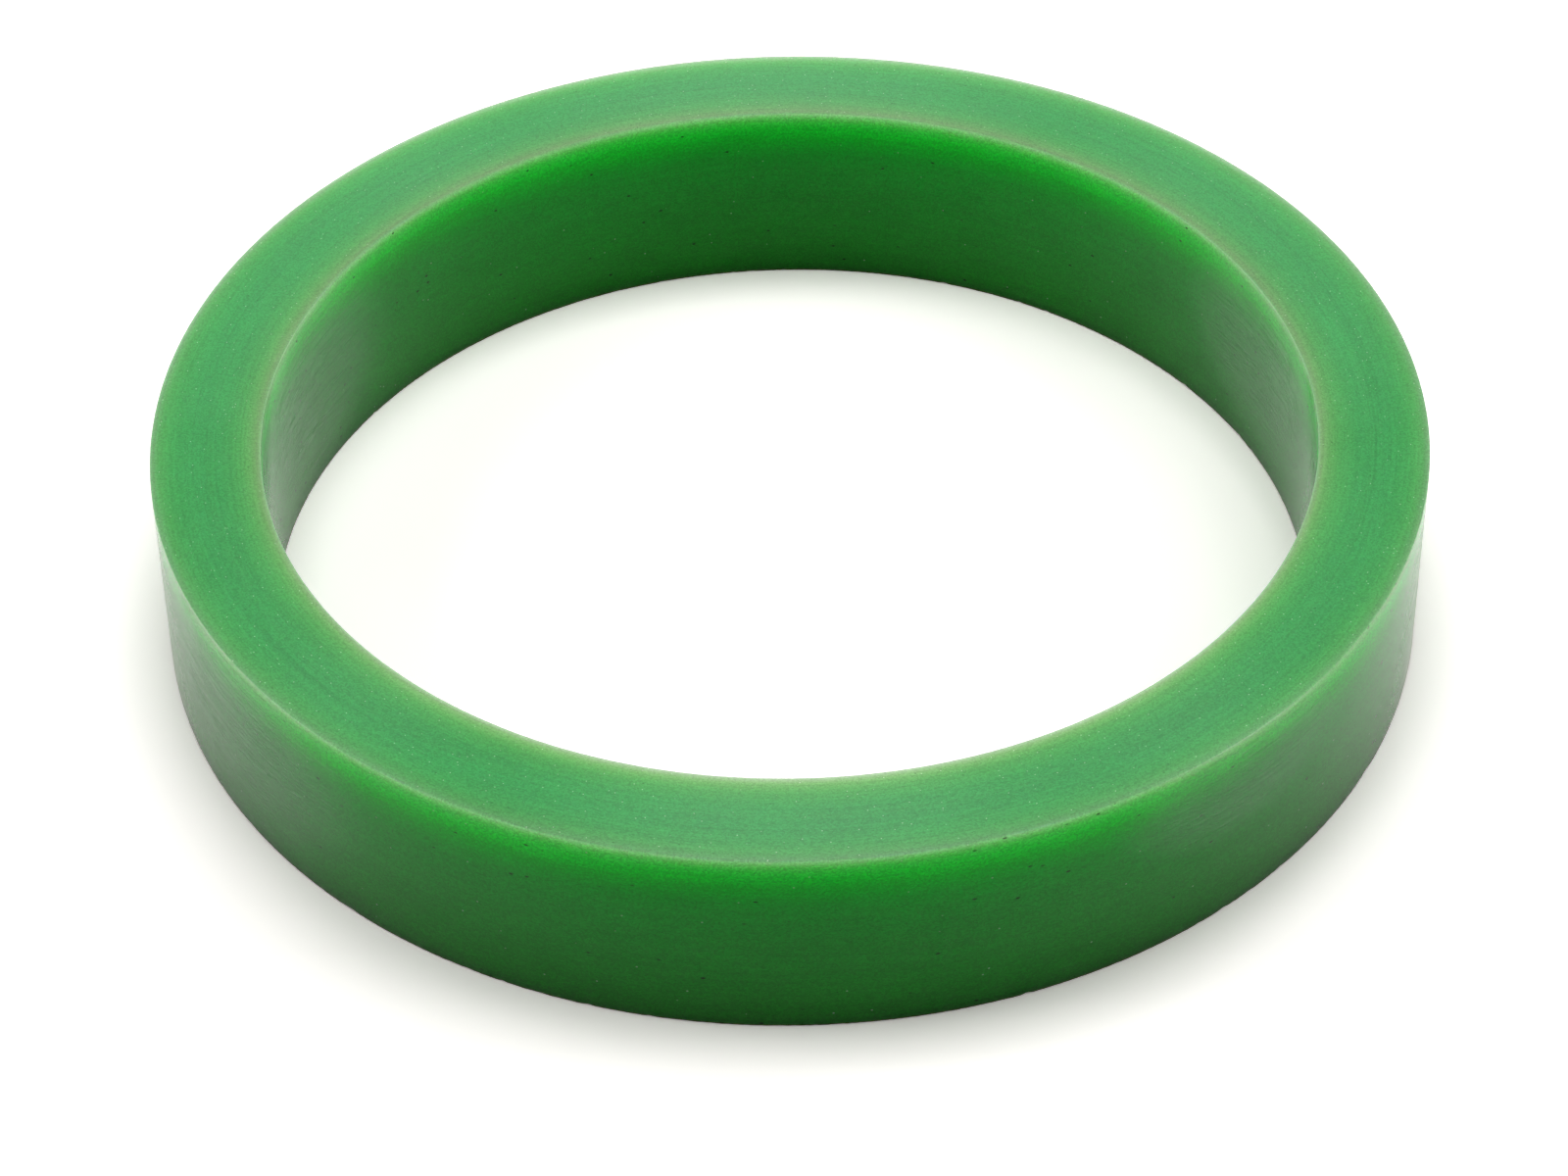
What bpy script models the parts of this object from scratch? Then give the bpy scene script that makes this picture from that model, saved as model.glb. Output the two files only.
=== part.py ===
# Pressure ring: one solid ring of green polyurethane, cast as a blank and turned all over on a lathe.
# It presses a set of packings into its seat, so both faces are flat and parallel and both walls are straight.
# Lengths are in metres. The ring stands on its lower face at z = 0, and its axis is +Z.

import math

import bpy
from mathutils import Vector

# Driving dimensions. A packing seat is given by its rod, its radial width and its depth.
BORE_DIAMETER = 0.149
RADIAL_WIDTH = 0.0155  # from the bore to the outer wall, so the ring is 180 mm across
HEIGHT = 0.030
OUTER_TOP_BREAK = 0.0002  # radius of the broken edge between the upper face and the outer wall
OUTER_FOOT_BREAK = 0.00015  # the same where the outer wall meets the lower face
BORE_TOP_BREAK = 0.0002  # the same between the upper face and the bore
BORE_FOOT_BREAK = 0.00015  # the same where the bore meets the lower face

# Fineness of the round forms
TURN_STEPS = 160  # facets round the ring
BREAK_STEPS = 4  # facets across one broken edge
MERGE_DISTANCE = 0.00001  # closes the turned body where it meets itself

# Finish of the polyurethane: Principled base colour, roughness and refraction
GREEN = (0.03, 0.30, 0.06, 1.0)
ROUGHNESS = 0.42
REFRACTIVE_INDEX = 1.5


def clear_scene():
    """Remove every object that the file opened with."""
    for thing in list(bpy.data.objects):
        bpy.data.objects.remove(thing)


def polyurethane():
    """Make the turned green polyurethane."""
    material = bpy.data.materials.new("polyurethane")
    material.use_nodes = True
    surface = material.node_tree.nodes["Principled BSDF"]
    surface.inputs["Base Color"].default_value = GREEN
    surface.inputs["Roughness"].default_value = ROUGHNESS
    surface.inputs["Metallic"].default_value = 0.0
    surface.inputs["IOR"].default_value = REFRACTIVE_INDEX
    material.diffuse_color = GREEN
    return material


def broken_edge(corner, into_material, break_radius, start_angle, steps):
    """Points of a quarter round that replaces a corner of the section, in clockwise order.

    corner is (radius, height). into_material is the direction from the corner to the round's
    centre, as -1 or 1 along each axis. start_angle is where the round starts, seen from its centre.
    """
    centre = Vector(corner) + break_radius * Vector(into_material)
    points = []
    for step in range(steps + 1):
        angle = start_angle - math.radians(90) * step / steps
        points.append(centre + break_radius * Vector((math.cos(angle), math.sin(angle))))
    return points


def ring_section():
    """The section of the ring as a closed loop of (radius, height), down the outer side first."""
    inner = BORE_DIAMETER / 2
    outer = inner + RADIAL_WIDTH
    largest_break = 0.45 * min(RADIAL_WIDTH, HEIGHT)  # two breaks on one side never meet
    corners = [
        ((outer, HEIGHT), (-1, -1), OUTER_TOP_BREAK, 90),
        ((outer, 0.0), (-1, 1), OUTER_FOOT_BREAK, 0),
        ((inner, 0.0), (1, 1), BORE_FOOT_BREAK, -90),
        ((inner, HEIGHT), (1, -1), BORE_TOP_BREAK, 180),
    ]
    section = []
    for corner, into_material, break_radius, start_degrees in corners:
        radius = min(break_radius, largest_break)
        start = math.radians(start_degrees)
        section += broken_edge(corner, into_material, radius, start, BREAK_STEPS)
    return section


def turned_body(name, section):
    """Turn a closed section about the Z axis into one solid body, its section left editable."""
    points = [(radius, 0.0, height) for radius, height in section]
    edges = [(i, (i + 1) % len(points)) for i in range(len(points))]
    mesh = bpy.data.meshes.new(name)
    mesh.from_pydata(points, edges, [])
    body = bpy.data.objects.new(name, mesh)
    bpy.context.scene.collection.objects.link(body)
    turn = body.modifiers.new("turn", "SCREW")
    turn.axis = "Z"
    turn.angle = math.radians(360)
    turn.steps = TURN_STEPS
    turn.render_steps = TURN_STEPS
    turn.use_merge_vertices = True
    turn.merge_threshold = MERGE_DISTANCE
    turn.use_smooth_shade = True
    body.modifiers.new("crisp_flats", "WEIGHTED_NORMAL")  # flats shade flat, rounds shade round
    return body


def make_pressure_ring():
    """Make the ring in its own frame, standing on its lower face."""
    ring = turned_body("pressure_ring", ring_section())
    ring.data.materials.append(polyurethane())
    return ring


clear_scene()
make_pressure_ring()
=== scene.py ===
import math

import bpy
import numpy as np
from mathutils import Matrix, Vector


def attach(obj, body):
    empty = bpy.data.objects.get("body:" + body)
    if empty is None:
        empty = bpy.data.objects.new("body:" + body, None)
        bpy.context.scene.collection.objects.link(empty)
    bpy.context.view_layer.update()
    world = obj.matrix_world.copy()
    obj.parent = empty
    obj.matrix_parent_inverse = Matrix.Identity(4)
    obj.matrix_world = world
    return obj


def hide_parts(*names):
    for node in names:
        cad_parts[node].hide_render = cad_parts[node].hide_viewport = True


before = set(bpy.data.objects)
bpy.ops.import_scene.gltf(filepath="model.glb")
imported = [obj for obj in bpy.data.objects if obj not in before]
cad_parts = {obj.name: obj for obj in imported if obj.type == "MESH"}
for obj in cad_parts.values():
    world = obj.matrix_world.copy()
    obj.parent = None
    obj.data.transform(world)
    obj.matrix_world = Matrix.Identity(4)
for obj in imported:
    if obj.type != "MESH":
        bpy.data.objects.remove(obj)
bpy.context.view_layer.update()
print("frame loaded:", sorted(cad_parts))

mm = 0.001


# sRGB hex to the linear colour that Blender's sockets take
def toLinear(hexColour):
    channels = [int(hexColour[i:i + 2], 16) / 255 for i in (1, 3, 5)]
    return [c / 12.92 if c <= 0.04045 else ((c + 0.055) / 1.055) ** 2.4 for c in channels] + [1.0]


# Adds a node, sets its settings, and fills or links its inputs, which are given by name or by number.
# A Mix of two colours has its factor and colours at inputs 0, 6 and 7, and its result at output 2.
def addNode(tree, kind, inputs=None, **settings):
    node = tree.nodes.new(kind)
    for name, value in settings.items():
        setattr(node, name, value)
    for key, value in (inputs or {}).items():
        if isinstance(value, bpy.types.NodeSocket):
            tree.links.new(value, node.inputs[key])
        else:
            node.inputs[key].default_value = value
    return node


# The section of the ring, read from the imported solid: its radii, its height and the radii of its edges
def readSection(node):
    level = 0.001 * mm  # points this close to a face lie on it
    points = np.array([v.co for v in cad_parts[node].data.vertices], float)
    radius = np.hypot(points[:, 0], points[:, 1])
    height = points[:, 2].max()
    onTop = radius[points[:, 2] > height - level]
    onFoot = radius[points[:, 2] < level]
    outer = radius.max()
    bore = radius.min()
    return {
        "outer": outer,
        "bore": bore,
        "middle": (outer + bore) / 2,
        "height": height,
        "outerTop": outer - onTop.max(),
        "boreTop": onTop.min() - bore,
        "outerFoot": outer - onFoot.max(),
        "boreFoot": onFoot.min() - bore,
    }


section = readSection("pressure_ring")

ring = {
    "stepsRound": 2000,
    "breakSteps": 4,            # across one rounded edge
    # distances of the extra rings from each end of a face or wall, which has one more in its middle
    "sideRings": (0.1 * mm, 0.5 * mm, 2.0 * mm),
    "waviness": 0.012 * mm,     # how far a turned wall wanders
    "wanderTurns": (2, 30),     # slowest and fastest waves of that round the ring
    "wanderFall": 0.6,          # how quickly the faster waves get smaller
    "topWear": 0.05 * mm,       # how much the radius of an upper edge comes and goes
    "footWear": 0.10 * mm,      # the same at the foot, which is rougher
    "wearTurns": (20, 600),     # slowest and fastest waves of that wear
    "wearFall": 0.3,
    "sharpest": 0.05 * mm,      # no edge gets a smaller radius than this
    "nicks": 40,                # small bites along each foot edge
    "nickWidth": (0.25 * mm, 0.9 * mm),
    "nickSize": (0.05 * mm, 0.3 * mm),  # what a bite adds to the edge's radius
    "seed": 7,
}


# A smooth random curve round the ring, at most 1 high, that closes on itself
def waves(angles, rng, slowest, fastest, fall):
    total = np.zeros_like(angles)
    for turn in range(slowest, fastest):
        total += np.cos(turn * angles + rng.uniform(0, 2 * math.pi)) * rng.normal() / turn ** fall
    return total / np.abs(total).max()


# The radius of each rounded edge at every step round the ring: general wear, and bites along the foot
def edgeRadii(angles, rng):
    radii = {}
    for side in ("outer", "bore"):
        for edge, wear, nicks in (("Top", ring["topWear"], 0), ("Foot", ring["footWear"], ring["nicks"])):
            change = waves(angles, rng, *ring["wearTurns"], ring["wearFall"])
            radius = section[side + edge] + change * wear
            for nick in range(nicks):
                away = (angles - rng.uniform(0, 2 * math.pi) + math.pi) % (2 * math.pi) - math.pi
                width = rng.uniform(*ring["nickWidth"]) / section["outer"]
                radius += rng.uniform(*ring["nickSize"]) * np.exp(-(away / width) ** 2)
            radii[side + edge] = np.maximum(radius, ring["sharpest"])
    return radii


# The section as rings of points, clockwise from the outer upper edge. Each ring has its normal in the
# section, and its radius and height at every step round, as a pair of rows.
def sectionRings(radii):
    outer, bore, height = section["outer"], section["bore"], section["height"]
    corners = [
        # edge, corner, direction into the material, first angle of the rounding
        ("outerTop", (outer, height), (-1, -1), 90),
        ("outerFoot", (outer, 0.0), (-1, 1), 0),
        ("boreFoot", (bore, 0.0), (1, 1), -90),
        ("boreTop", (bore, height), (1, -1), 180),
    ]
    rings = []
    for number, (edge, corner, inward, first) in enumerate(corners):
        for step in range(ring["breakSteps"] + 1):
            angle = math.radians(first - 90 * step / ring["breakSteps"])
            normal = np.array([math.cos(angle), math.sin(angle)])
            place = np.array(corner)[:, None] + radii[edge] * (inward + normal)[:, None]
            rings.append({"normal": normal, "place": place})
        # the straight side that leads to the next edge
        nextEdge, nextCorner, nextInward = corners[(number + 1) % len(corners)][:3]
        end = np.array(nextCorner)[:, None] + radii[nextEdge] * (nextInward + normal)[:, None]
        along = np.array([normal[1], -normal[0]])[:, None]
        side = [place + along * distance for distance in ring["sideRings"]]
        side.append((place + end) / 2)
        side += [end - along * distance for distance in reversed(ring["sideRings"])]
        rings += [{"normal": normal, "place": line} for line in side]
    return rings


# The ring's skin, as one closed mesh. Faces and walls take the first and the second material.
def makeRing():
    rng = np.random.default_rng(ring["seed"])
    steps = ring["stepsRound"]
    angles = np.arange(steps) * 2 * math.pi / steps
    wander = waves(angles, rng, *ring["wanderTurns"], ring["wanderFall"]) * ring["waviness"]
    rings = sectionRings(edgeRadii(angles, rng))
    vertices = np.zeros((len(rings), steps, 3))
    for number, line in enumerate(rings):
        push = wander * abs(line["normal"][0])
        radius = line["place"][0] + push * line["normal"][0]
        vertices[number, :, 0] = radius * np.cos(angles)
        vertices[number, :, 1] = radius * np.sin(angles)
        vertices[number, :, 2] = line["place"][1] + push * line["normal"][1]
    faces = []
    onWall = []
    for here in range(len(rings)):
        there = (here + 1) % len(rings)
        lean = rings[here]["normal"] + rings[there]["normal"]
        onWall += [int(abs(lean[0]) > abs(lean[1]))] * steps
        for i in range(steps):
            j = (i + 1) % steps
            faces.append((here * steps + i, there * steps + i, there * steps + j, here * steps + j))
    mesh = bpy.data.meshes.new("turned_ring")
    mesh.from_pydata(vertices.reshape(-1, 3).tolist(), [], faces)
    mesh.polygons.foreach_set("material_index", onWall)
    mesh.shade_smooth()
    mesh.update()
    piece = bpy.data.objects.new("turned_ring", mesh)
    bpy.context.scene.collection.objects.link(piece)
    print("ring:", len(rings), "rings,", 2 * len(faces), "triangles")
    return piece


# What both finishes share. Cast polyurethane is a slightly cloudy elastomer: light goes a few millimetres
# in and comes out again. The colours paint that light in as a painted glow, so every rim is lighter and
# yellower than the middle of a face and the top of a wall is a bright clear green, and as painted shade,
# which darkens the wall down to a deep green towards the foot.
castPolyurethane = {
    # painted glow: a face is lighter and yellower near each rim, the bore's rim the most
    "boreGlowColours": [(0.0, "#6b955a"), (0.2, "#63a15b"), (0.5, "#4ca055"), (1.0, "#3a9a54")],
    "outerGlowColours": [(0.0, "#569e5a"), (0.2, "#4fa155"), (0.5, "#409f53"), (1.0, "#3a9a54")],
    "faceGlowReach": 6 * mm,        # how far the painted glow of a rim reaches across a face
    # painted glow under the upper edge of a wall, then painted shade that deepens the green towards the foot
    "wallGlowShadeColours": [
        (0.0, "#60b860"), (0.03, "#58cc58"), (0.06, "#3ce44e"), (0.10, "#14e038"),
        (0.15, "#04cc2a"), (0.26, "#06a22b"), (0.5, "#0c9628"), (1.0, "#127c10"),
    ],
    "wallReach": 30 * mm,       # how far down the wall the colours run
    "rimBlend": 0.5 * mm,       # over this width the face's colours pass into the wall's
    "edgeColour": "#64a472",    # the upper edge itself, paler in places from wear and as a painted highlight
    "edgeWidth": 0.30 * mm,
    "edgeShare": (0.0, 0.6),    # least and most of that colour
    "edgePatch": 9 * mm,        # length of the paler places
    "edgeDetail": 3.0,          # detail of the noise that makes them
    "edgeNoise": (0.40, 0.65),  # the part of that noise over which they come in
    "edgeGloss": 0.45,          # what the upper edge adds to the roughness
    "footShadeColour": "#566420",    # a thin brownish line of painted shade where the foot meets the floor
    "footLine": (0.40 * mm, 0.12 * mm),  # it starts at the first height and is full at the second
    "noiseDetail": 2.0,         # of the layers below
    "noiseRoughness": 0.6,
    "noiseSpan": (0.25, 0.75),  # where most of that noise lies
    "dotCore": 0.5,             # share of a dot's radius that has its full colour
    "scatterDepth": (2.0 * mm, 4.5 * mm, 1.6 * mm),  # how far red, green and blue travel inside
    "scatterForward": 0.85,     # light keeps most of its direction inside
    "scatterIor": 1.4,
    "glossTurn": 0.25,          # a quarter turn, so that the gloss is wide across the marks
}

# Faced with a knife: satin, because the marks of the feed run round the ring and spread the light across
# them, so the haze is strong in front and behind and weak at the sides. The real feed is 0.1 to 0.2 mm,
# and the marks are drawn about twice as coarse so that they show.
facedPolyurethane = {
    "ior": 1.5,
    "glossColours": [],         # the gloss of the faces is white
    "roughness": 0.38,
    "acrossMarks": 1.0,         # how much wider the gloss is across the marks than along them
    # size along the ring and across the marks, then how much each layer changes tone, roughness and height
    "layers": {
        "marks": {"size": (40 * mm, 0.32 * mm), "tone": 0.12, "gloss": 0.05, "depth": 0.006 * mm},
        "bands": {"size": (90 * mm, 2.2 * mm), "tone": 0.05, "gloss": 0.03, "depth": 0},
        "grain": {"size": (0.34 * mm, 0.32 * mm), "tone": 0.05, "gloss": 0.0, "depth": 0.010 * mm},
        "specks": {"size": (0.22 * mm, 0.20 * mm), "tone": 0.18, "gloss": 0.0, "depth": 0},
        "cloud": {"size": (14 * mm, 7 * mm), "tone": 0.05, "gloss": 0.04, "depth": 0},
    },
    # crumbs of swarf and small holes: their distance, radius and stretch, colour and how much of it
    "dots": {
        "crumbs": {"cell": 1.0 * mm, "radius": 0.09 * mm, "stretch": 1.2, "colour": "#dcf6de", "share": 0.6},
        "holes": {"cell": 2.2 * mm, "radius": 0.15 * mm, "stretch": 1.3, "colour": "#0c4a1c", "share": 0.5},
    },
    "scuffs": [],
}

# Turned walls: smoother than the faces, so they mirror the floor at a low angle, broken up by ripples of
# the tool. The gloss is matched a little under polyurethane's usual 1.5, and takes on some of the green.
# The marks are drawn about three times as coarse as the real feed so that they show.
turnedPolyurethane = {
    "ior": 1.46,
    # the tint of the gloss, by distance down the wall
    "glossColours": [(0.0, "#48f06c"), (0.2, "#48f06c"), (0.34, "#86f090"), (1.0, "#70e070")],
    "roughness": 0.12,
    "acrossMarks": 0.3,
    "layers": {
        "marks": {"size": (24 * mm, 0.50 * mm), "tone": 0.07, "gloss": 0.05, "depth": 0.008 * mm},
        "ripples": {"size": (5.5 * mm, 1.8 * mm), "tone": 0.05, "gloss": 0.04, "depth": 0.022 * mm},
        "grain": {"size": (0.32 * mm, 0.30 * mm), "tone": 0.07, "gloss": 0.0, "depth": 0.006 * mm},
        "specks": {"size": (0.22 * mm, 0.20 * mm), "tone": 0.21, "gloss": 0.0, "depth": 0},
        "cloud": {"size": (16 * mm, 9 * mm), "tone": 0.08, "gloss": 0.03, "depth": 0},
    },
    "dots": {
        "pits": {"cell": 2.6 * mm, "radius": 0.22 * mm, "stretch": 1.8, "colour": "#031c08", "share": 0.9},
        "pores": {"cell": 1.5 * mm, "radius": 0.11 * mm, "stretch": 1.4, "colour": "#083512", "share": 0.6},
        "crumbs": {"cell": 2.4 * mm, "radius": 0.14 * mm, "stretch": 1.2, "colour": "#9cc79c", "share": 0.5},
    },
    # rubbed places, which also carry a painted sheen of reflected light: side, angle round the ring, depth
    # below the upper face, half length and half height
    "scuffs": [
        {"side": "bore", "angle": 20, "depth": 12.0 * mm, "reach": (24 * mm, 18.0 * mm)},
        {"side": "bore", "angle": 160, "depth": 14.0 * mm, "reach": (24 * mm, 19.0 * mm)},
        {"side": "outer", "angle": 311, "depth": 6.5 * mm, "reach": (24 * mm, 12.0 * mm)},
        {"side": "outer", "angle": 211, "depth": 12.0 * mm, "reach": (36 * mm, 20.0 * mm)},
    ],
    "scuffFade": (1.0, 0.4),    # shares of that reach, at which a place begins and is full
    "scuffSheenColour": "#b2c4b0",     # a painted sheen of reflected light over a place
    "scuffSheenShare": 0.21,
    "scuffSize": (9 * mm, 0.36 * mm),  # length and height of one rub mark in it
    "scuffDetail": 2.0,         # detail of the noise that makes the rub marks
    "scuffNoise": (0.50, 0.62),  # the part of that noise over which they come in
    "scuffTone": 0.08,          # how much darker a rub mark is
    "scuffGloss": 0.12,         # what it adds to the roughness
    "scuffDepth": 0.03 * mm,
}


# A run of colours over a distance, such as the one from a rim
def colourRun(tree, distance, reach, colours):
    share = addNode(tree, "ShaderNodeMapRange", {"Value": distance, "From Max": reach}).outputs["Result"]
    ramp = addNode(tree, "ShaderNodeValToRGB", {"Fac": share})
    ramp.color_ramp.interpolation = "B_SPLINE"
    while len(ramp.color_ramp.elements) < len(colours):
        ramp.color_ramp.elements.new(0.5)  # put in its place below
    for element, (position, colour) in zip(ramp.color_ramp.elements, colours):
        element.position = position
        element.color = toLinear(colour)
    return ramp.outputs["Color"]


# Where a point lies on the ring, as sockets: its place, its distances from the rims, and its track, a
# vector that runs round the ring in X and Y and across face and wall in Z, so that no pattern has a seam
def ringPlace(tree):
    place = addNode(tree, "ShaderNodeTexCoord").outputs["Object"]
    flat = addNode(tree, "ShaderNodeVectorMath", {0: place, 1: (1, 1, 0)}, operation="MULTIPLY").outputs[0]
    radius = addNode(tree, "ShaderNodeVectorMath", {0: flat}, operation="LENGTH").outputs["Value"]
    direction = addNode(tree, "ShaderNodeVectorMath", {0: flat}, operation="NORMALIZE").outputs[0]
    height = addNode(tree, "ShaderNodeSeparateXYZ", {0: place}).outputs["Z"]
    toOuter = addNode(tree, "ShaderNodeMath", {0: section["outer"], 1: radius},
                      operation="SUBTRACT").outputs[0]
    toBore = addNode(tree, "ShaderNodeMath", {0: radius, 1: section["bore"]},
                     operation="SUBTRACT").outputs[0]
    toTop = addNode(tree, "ShaderNodeMath", {0: section["height"], 1: height},
                    operation="SUBTRACT").outputs[0]
    toWall = addNode(tree, "ShaderNodeMath", {0: toOuter, 1: toBore}, operation="MINIMUM").outputs[0]
    across = addNode(tree, "ShaderNodeMath", {0: radius, 1: height}, operation="ADD").outputs[0]
    up = addNode(tree, "ShaderNodeCombineXYZ", {"Z": across}).outputs[0]
    track = addNode(tree, "ShaderNodeVectorMath", {0: direction, 1: up}, operation="ADD").outputs[0]
    return {"place": place, "height": height, "toOuter": toOuter, "toBore": toBore, "toTop": toTop,
            "toWall": toWall, "track": track}


# Stretches the track so that one unit is the given length along the ring and across the marks
def stretched(tree, at, along, across):
    scale = (section["middle"] / along, section["middle"] / along, 1 / across)
    return addNode(tree, "ShaderNodeVectorMath", {0: at["track"], 1: scale},
                   operation="MULTIPLY").outputs[0]


# The green by its distance from the rims, with painted glow at the rims of a face and under the top of a
# wall, and painted shade towards the foot of a wall: one run of colours across a face, another down a wall
def paintedGlowAndShade(tree, at):
    cast = castPolyurethane
    boreSide = colourRun(tree, at["toBore"], cast["faceGlowReach"], cast["boreGlowColours"])
    outerSide = colourRun(tree, at["toOuter"], cast["faceGlowReach"], cast["outerGlowColours"])
    nearOuter = addNode(tree, "ShaderNodeMath", {0: at["toOuter"], 1: at["toBore"]},
                        operation="LESS_THAN").outputs[0]
    face = addNode(tree, "ShaderNodeMix", {0: nearOuter, 6: boreSide, 7: outerSide},
                   data_type="RGBA").outputs[2]
    wall = colourRun(tree, at["toTop"], cast["wallReach"], cast["wallGlowShadeColours"])
    toFace = addNode(tree, "ShaderNodeMath", {0: at["toTop"], 1: at["height"]},
                     operation="MINIMUM").outputs[0]
    lean = addNode(tree, "ShaderNodeMath", {0: at["toWall"], 1: toFace}, operation="SUBTRACT").outputs[0]
    onFace = addNode(tree, "ShaderNodeMapRange", {
        "Value": lean,
        "From Min": -cast["rimBlend"],
        "From Max": cast["rimBlend"],
    }).outputs["Result"]
    return addNode(tree, "ShaderNodeMix", {0: onFace, 6: wall, 7: face}, data_type="RGBA").outputs[2]


# How near a point is to an upper edge, from 0 to 1
def upperEdge(tree, at):
    corner = addNode(tree, "ShaderNodeMath", {0: at["toWall"], 1: at["toTop"]}, operation="ADD").outputs[0]
    return addNode(tree, "ShaderNodeMapRange", {
        "Value": corner,
        "From Min": castPolyurethane["edgeWidth"],
        "From Max": 0.0,
    }, interpolation_type="SMOOTHSTEP").outputs["Result"]


# The upper edges, paler in places from wear and as a painted highlight, and a line of painted shade
# along the foot, over the green
def edgeColours(tree, at, green, onEdge):
    cast = castPolyurethane
    patch = addNode(tree, "ShaderNodeTexNoise", {
        "Vector": stretched(tree, at, cast["edgePatch"], cast["edgePatch"]),
        "Scale": 1.0,
        "Detail": cast["edgeDetail"],
    }).outputs["Fac"]
    paleShare = addNode(tree, "ShaderNodeMapRange", {
        "Value": patch,
        "From Min": cast["edgeNoise"][0],
        "From Max": cast["edgeNoise"][1],
        "To Min": cast["edgeShare"][0],
        "To Max": cast["edgeShare"][1],
    }).outputs["Result"]
    # the paler places of the upper edge: wear, and a painted highlight
    pale = addNode(tree, "ShaderNodeMath", {0: onEdge, 1: paleShare}, operation="MULTIPLY").outputs[0]
    edged = addNode(tree, "ShaderNodeMix", {0: pale, 6: green, 7: toLinear(cast["edgeColour"])},
                    data_type="RGBA").outputs[2]
    # painted shade: a thin brownish line along the foot
    footShade = addNode(tree, "ShaderNodeMapRange", {
        "Value": at["height"],
        "From Min": cast["footLine"][0],
        "From Max": cast["footLine"][1],
    }).outputs["Result"]
    return addNode(tree, "ShaderNodeMix", {0: footShade, 6: edged, 7: toLinear(cast["footShadeColour"])},
                   data_type="RGBA").outputs[2]


# Layers of noise, which move tone, roughness and height about their middle
def addLayers(tree, at, finish, look):
    cast = castPolyurethane
    for name, layer in finish["layers"].items():
        pattern = {"Vector": stretched(tree, at, *layer["size"]), "Scale": 1.0}
        if name == "specks":  # one even tone to a speck
            cells = addNode(tree, "ShaderNodeTexVoronoi", pattern).outputs["Color"]
            noise = addNode(tree, "ShaderNodeSeparateColor", {0: cells}).outputs["Red"]
            low, high = 0.0, 1.0
        else:
            noise = addNode(tree, "ShaderNodeTexNoise", {
                **pattern,
                "Detail": cast["noiseDetail"],
                "Roughness": cast["noiseRoughness"],
            }).outputs["Fac"]
            low, high = cast["noiseSpan"]
        span = {"Value": noise, "From Min": low, "From Max": high}
        tone = addNode(tree, "ShaderNodeMapRange", {
            **span,
            "To Min": 1 - layer["tone"],
            "To Max": 1 + layer["tone"],
        }).outputs["Result"]
        look["colour"] = addNode(tree, "ShaderNodeVectorMath", {0: look["colour"], "Scale": tone},
                                 operation="SCALE").outputs[0]
        if layer["gloss"]:
            uneven = addNode(tree, "ShaderNodeMapRange", {
                **span,
                "To Min": -layer["gloss"],
                "To Max": layer["gloss"],
            }).outputs["Result"]
            look["roughness"] = addNode(tree, "ShaderNodeMath", {0: look["roughness"], 1: uneven},
                                        operation="ADD").outputs[0]
        if layer["depth"]:
            look["bump"] = {"Normal": addNode(tree, "ShaderNodeBump", {
                "Height": noise,
                "Strength": 1.0,
                "Distance": layer["depth"],
                **look["bump"],
            }).outputs[0]}


# Dots of their own colour, one to a cell, such as crumbs and pits
def addDots(tree, at, finish, look):
    for dot in finish["dots"].values():
        cells = addNode(tree, "ShaderNodeTexVoronoi", {
            "Vector": stretched(tree, at, dot["cell"] * dot["stretch"], dot["cell"]),
            "Scale": 1.0,
        })
        size = dot["radius"] / dot["cell"]
        mask = addNode(tree, "ShaderNodeMapRange", {
            "Value": cells.outputs["Distance"],
            "From Min": size,
            "From Max": castPolyurethane["dotCore"] * size,
            "To Max": dot["share"],
        }).outputs["Result"]
        look["colour"] = addNode(tree, "ShaderNodeMix", {
            0: mask,
            6: look["colour"],
            7: toLinear(dot["colour"]),
        }, data_type="RGBA").outputs[2]


# The rubbed places as soft ovals, which also carry a painted sheen, and the fine rub marks inside them
def scuffMasks(tree, at, finish):
    noise = addNode(tree, "ShaderNodeTexNoise", {
        "Vector": stretched(tree, at, *finish["scuffSize"]),
        "Scale": 1.0,
        "Detail": finish["scuffDetail"],
    }).outputs["Fac"]
    strokes = addNode(tree, "ShaderNodeMapRange", {
        "Value": noise,
        "From Min": finish["scuffNoise"][0],
        "From Max": finish["scuffNoise"][1],
    }).outputs["Result"]
    area = 0.0
    for scuff in finish["scuffs"]:
        along, up = scuff["reach"]
        turn = math.radians(scuff["angle"])
        radius = section[scuff["side"]]
        centre = (radius * math.cos(turn) / along, radius * math.sin(turn) / along,
                  (section["height"] - scuff["depth"]) / up)
        scaled = addNode(tree, "ShaderNodeVectorMath", {0: at["place"], 1: (1 / along, 1 / along, 1 / up)},
                         operation="MULTIPLY").outputs[0]
        away = addNode(tree, "ShaderNodeVectorMath", {0: scaled, 1: centre},
                       operation="DISTANCE").outputs["Value"]
        inside = addNode(tree, "ShaderNodeMapRange", {
            "Value": away,
            "From Min": finish["scuffFade"][0],
            "From Max": finish["scuffFade"][1],
        }, interpolation_type="SMOOTHSTEP").outputs["Result"]
        area = addNode(tree, "ShaderNodeMath", {0: area, 1: inside}, operation="MAXIMUM").outputs[0]
    marks = addNode(tree, "ShaderNodeMath", {0: area, 1: strokes}, operation="MULTIPLY").outputs[0]
    return area, marks
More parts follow.
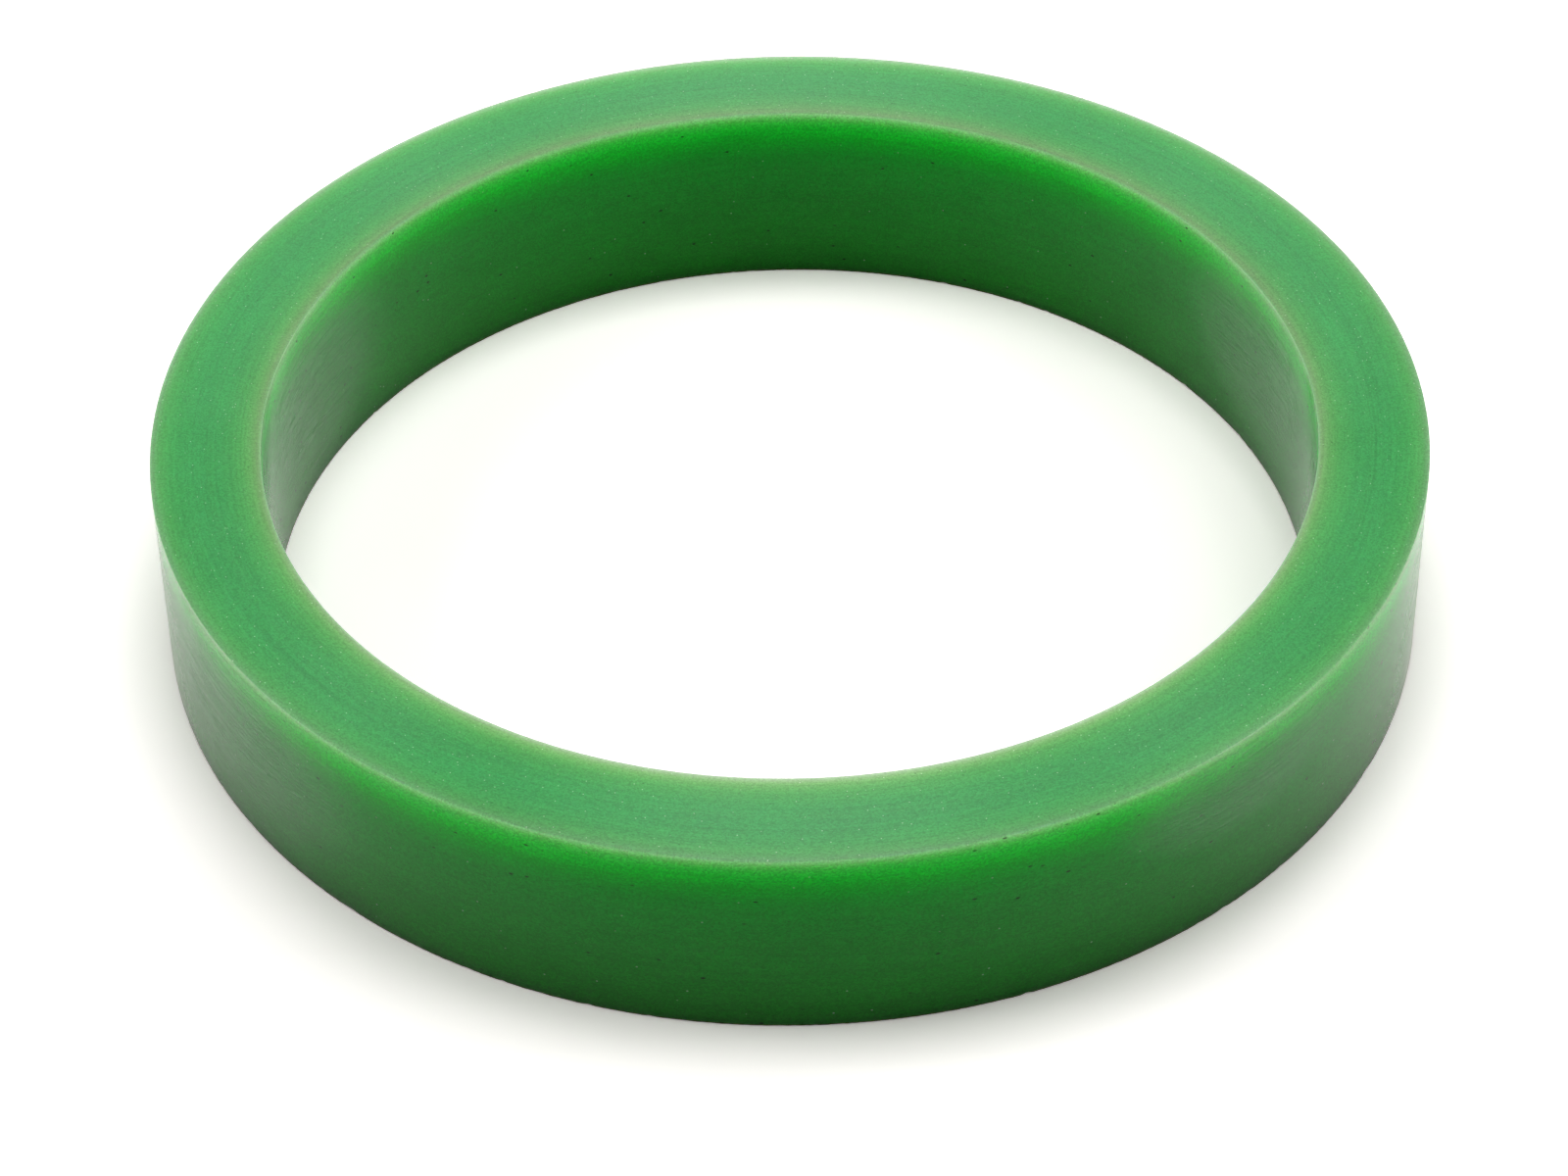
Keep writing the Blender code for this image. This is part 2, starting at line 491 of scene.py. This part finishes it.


# A rubbed place gets a painted sheen of reflected light all over, and its rub marks are darker, duller
# and a little deeper
def addScuffs(tree, at, finish, look):
    area, marks = scuffMasks(tree, at, finish)
    # painted sheen: the pale bloom stands for light reflected off the side walls
    paintedSheen = addNode(tree, "ShaderNodeMath", {0: area, 1: finish["scuffSheenShare"]},
                    operation="MULTIPLY").outputs[0]
    sheened = addNode(tree, "ShaderNodeMix", {0: paintedSheen, 6: look["colour"], 7: toLinear(finish["scuffSheenColour"])},
                   data_type="RGBA").outputs[2]
    tone = addNode(tree, "ShaderNodeMapRange", {
        "Value": marks,
        "To Min": 1.0,
        "To Max": 1 - finish["scuffTone"],
    }).outputs["Result"]
    look["colour"] = addNode(tree, "ShaderNodeVectorMath", {0: sheened, "Scale": tone},
                             operation="SCALE").outputs[0]
    dull = addNode(tree, "ShaderNodeMath", {0: marks, 1: finish["scuffGloss"]},
                   operation="MULTIPLY").outputs[0]
    look["roughness"] = addNode(tree, "ShaderNodeMath", {0: look["roughness"], 1: dull},
                                operation="ADD").outputs[0]
    look["bump"] = {"Normal": addNode(tree, "ShaderNodeBump", {
        "Height": marks,
        "Strength": 1.0,
        "Distance": finish["scuffDepth"],
        **look["bump"],
    }, invert=True).outputs[0]}


# Polyurethane in one finish: the colours of rims and edges, with their painted glow, highlight and shade,
# and noise, dots and rubbed places with their painted sheen over them
def makePolyurethane(name, finish):
    cast = castPolyurethane
    material = bpy.data.materials.new(name)
    material.use_nodes = True
    tree = material.node_tree
    tree.nodes.clear()
    at = ringPlace(tree)
    onEdge = upperEdge(tree, at)
    dullEdge = addNode(tree, "ShaderNodeMath", {0: onEdge, 1: cast["edgeGloss"]},
                       operation="MULTIPLY").outputs[0]
    look = {
        "colour": edgeColours(tree, at, paintedGlowAndShade(tree, at), onEdge),
        "roughness": addNode(tree, "ShaderNodeMath", {0: dullEdge, 1: finish["roughness"]},
                             operation="ADD").outputs[0],
        "bump": {},
    }
    addLayers(tree, at, finish, look)
    addDots(tree, at, finish, look)
    if finish["scuffs"]:
        addScuffs(tree, at, finish, look)
    glossColour = (1, 1, 1, 1)
    if finish["glossColours"]:
        glossColour = colourRun(tree, at["toTop"], cast["wallReach"], finish["glossColours"])
    alongMarks = addNode(tree, "ShaderNodeTangent", direction_type="RADIAL", axis="Z").outputs[0]
    shader = addNode(tree, "ShaderNodeBsdfPrincipled", {
        "Base Color": look["colour"],
        "Roughness": look["roughness"],
        "IOR": finish["ior"],
        "Specular Tint": glossColour,
        "Subsurface Weight": 1.0,
        "Subsurface Radius": cast["scatterDepth"],
        "Subsurface Scale": 1.0,
        "Subsurface Anisotropy": cast["scatterForward"],
        "Subsurface IOR": cast["scatterIor"],
        "Anisotropic": finish["acrossMarks"],
        "Anisotropic Rotation": cast["glossTurn"],
        "Tangent": alongMarks,
        **look["bump"],
    }, subsurface_method="RANDOM_WALK_SKIN")
    addNode(tree, "ShaderNodeOutputMaterial", {"Surface": shader.outputs[0]})
    return material


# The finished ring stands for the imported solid
def buildRing():
    piece = makeRing()
    piece.data.materials.append(makePolyurethane("faced polyurethane", facedPolyurethane))
    piece.data.materials.append(makePolyurethane("turned polyurethane", turnedPolyurethane))
    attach(piece, "root")
    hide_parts("pressure_ring")
    print("ring finished")


# White floor: seen as white by the camera and in reflections, and a mid grey to the light itself,
# so that the walls of the ring stay as deep as they are in a room that is darker towards the camera.
floor = {
    "size": 6.0,
    "gap": 0.02 * mm,  # how far the board lies below the ring
    # each white is laid on twice, which makes it brighter than white, so it clips outside the shadow
    "seenWhite": (0.745, 0.71, 0.705),
    "mirroredWhite": (0.61, 0.59, 0.575),
    "bounceColour": "#9c9c9a",
}


def buildFloor():
    bpy.ops.mesh.primitive_plane_add(size=floor["size"], location=(0, 0, -floor["gap"]))
    ground = bpy.context.object
    ground.name = "studio_floor"
    material = bpy.data.materials.new("matt white studio board")
    material.use_nodes = True
    tree = material.node_tree
    tree.nodes.clear()
    whites = {}
    for name in ("mirroredWhite", "seenWhite"):
        coat = addNode(tree, "ShaderNodeBsdfDiffuse", {"Color": (*floor[name], 1)}).outputs[0]
        whites[name] = addNode(tree, "ShaderNodeAddShader", {0: coat, 1: coat}).outputs[0]
    grey = addNode(tree, "ShaderNodeBsdfDiffuse", {"Color": toLinear(floor["bounceColour"])}).outputs[0]
    rays = addNode(tree, "ShaderNodeLightPath")
    mirrored = addNode(tree, "ShaderNodeMath", {
        0: rays.outputs["Is Glossy Ray"],
        1: rays.outputs["Is Transmission Ray"],
    }, operation="MAXIMUM").outputs[0]
    mixed = addNode(tree, "ShaderNodeMixShader", {
        0: mirrored,
        1: grey,
        2: whites["mirroredWhite"],
    }).outputs[0]
    mixed = addNode(tree, "ShaderNodeMixShader", {
        0: rays.outputs["Is Camera Ray"],
        1: mixed,
        2: whites["seenWhite"],
    }).outputs[0]
    addNode(tree, "ShaderNodeOutputMaterial", {"Surface": mixed})
    ground.data.materials.append(material)
    print("floor finished")


# Each softbox faces the ring. Its share is how much of the light on the upper face it gives.
lights = {
    "softboxes": {
        "overhead": {"place": (-0.05, 0.14, 1.30), "size": (0.60, 0.50), "share": 0.36},
        "high": {"place": (0.40, 0.30, 1.15), "size": (0.50, 0.50), "share": 0.11},
        "backdrop": {"place": (0.0, 1.40, 0.44), "size": (2.20, 0.40), "share": 0.21},
        "front": {"place": (0.22, -0.80, 0.92), "size": (0.90, 0.60), "share": 0.13},
        "left": {"place": (-0.95, 0.0, 0.75), "size": (0.50, 0.60), "share": 0.13},
        "right": {"place": (0.95, -0.10, 0.80), "size": (0.50, 0.60), "share": 0.09},
    },
    "surround": 0.05,  # even light from all sides
}


def addLamp(name, settings):
    lamp = bpy.data.lights.new(name, "AREA")
    lamp.shape = "RECTANGLE"
    lamp.size, lamp.size_y = settings["size"]
    place = Vector(settings["place"])
    # power for that share of white on a level surface at the ring
    lamp.energy = settings["share"] * math.pi ** 2 * place.length ** 3 / place.z
    holder = bpy.data.objects.new(name, lamp)
    holder.location = place
    holder.rotation_mode = "QUATERNION"
    holder.rotation_quaternion = (-place).to_track_quat("-Z", "Y")
    bpy.context.scene.collection.objects.link(holder)


# The softboxes, and a world that is white to the camera and faint to everything else
def buildLight():
    for name, settings in lights["softboxes"].items():
        addLamp("softbox_" + name, settings)
    world = bpy.data.worlds.new("white room")
    bpy.context.scene.world = world
    world.use_nodes = True
    tree = world.node_tree
    tree.nodes.clear()
    seen = addNode(tree, "ShaderNodeLightPath").outputs["Is Camera Ray"]
    even = addNode(tree, "ShaderNodeBackground", {
        "Color": (1, 1, 1, 1),
        "Strength": lights["surround"],
    }).outputs[0]
    white = addNode(tree, "ShaderNodeBackground", {"Color": (1, 1, 1, 1), "Strength": 1.0}).outputs[0]
    mixed = addNode(tree, "ShaderNodeMixShader", {0: seen, 1: even, 2: white}).outputs[0]
    addNode(tree, "ShaderNodeOutputWorld", {"Surface": mixed})
    print("light finished")


camera = {
    "focalPixels": 4808,   # in the photograph's pixels
    "imageWidth": 1600,
    "sensor": 36.0,        # mm
    "elevation": 40.77,    # degrees above the floor
    "roll": -0.94,         # degrees
    "distance": 0.6378,
    "aim": (-0.00112, -0.0369, 0.030),
    "nearest": 0.01,       # what is closer isn't drawn
}


def buildCamera():
    data = bpy.data.cameras.new("camera")
    data.sensor_fit = "HORIZONTAL"
    data.sensor_width = camera["sensor"]
    data.lens = camera["sensor"] * camera["focalPixels"] / camera["imageWidth"]
    data.clip_start = camera["nearest"]
    holder = bpy.data.objects.new("camera", data)
    elevation = math.radians(camera["elevation"])
    back = Vector((0, -math.cos(elevation), math.sin(elevation)))
    tilt = Matrix.Rotation(math.radians(90 - camera["elevation"]), 4, "X")
    roll = Matrix.Rotation(math.radians(camera["roll"]), 4, "Z")
    place = Matrix.Translation(Vector(camera["aim"]) + back * camera["distance"])
    holder.matrix_world = place @ (tilt @ roll)
    bpy.context.scene.collection.objects.link(holder)
    bpy.context.scene.camera = holder
    bpy.context.scene.view_settings.view_transform = "Standard"
    print("camera finished")


buildCamera()
buildFloor()
buildLight()
buildRing()
